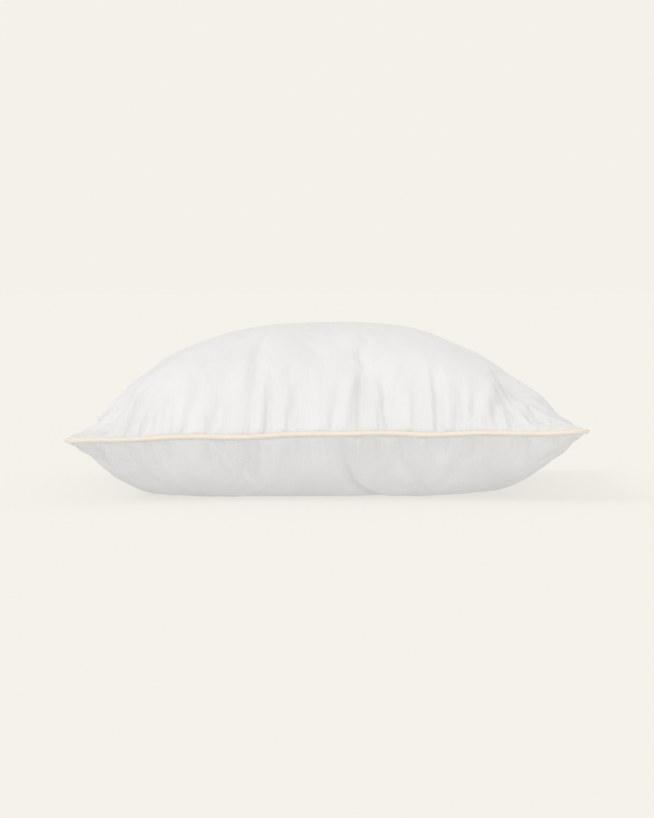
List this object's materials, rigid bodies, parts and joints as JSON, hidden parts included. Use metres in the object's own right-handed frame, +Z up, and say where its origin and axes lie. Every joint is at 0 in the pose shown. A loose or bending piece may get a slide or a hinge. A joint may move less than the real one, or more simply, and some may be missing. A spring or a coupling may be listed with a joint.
{
  "type": "bed pillow",
  "caption": "Rectangular filled bed pillow with domed cotton panels, a corded piping round the seam and a down and feather filling.",
  "frame": {"origin": "on the surface the pillow rests on, below the middle of its seam outline", "axes": "+X along the long sides, +Y towards the back long side with the care label, +Z up through the crown"},
  "size_m": [0.6176, 0.4764, 0.207],
  "materials": {
    "shell_cotton": "white downproof cotton, dense plain weave, soft sheen",
    "core_ticking": "off-white cotton ticking, plain weave, matte",
    "piping_cloth": "cream and champagne sateen cut on the bias, soft sheen",
    "filler_cord": "twisted cotton cord, matte",
    "thread": "white polyester-cotton sewing thread",
    "label_tape": "blank woven satin tape",
    "down": "white goose down clusters",
    "feather": "small curled white feathers"
  },
  "bodies": {
    "root": {"top_panel": "shell_cotton", "bottom_panel": "shell_cotton", "core_top_panel": "core_ticking", "core_bottom_panel": "core_ticking", "piping_cover": "piping_cloth", "piping_cord": "filler_cord", "needle_thread": "thread", "bobbin_thread": "thread", "overlock_edging": "thread", "closing_stitches": "thread", "care_label": "label_tape", "upper_down_fill": "down", "lower_down_fill": "down", "core_feather_fill": "feather"}
  },
  "joints": []
}
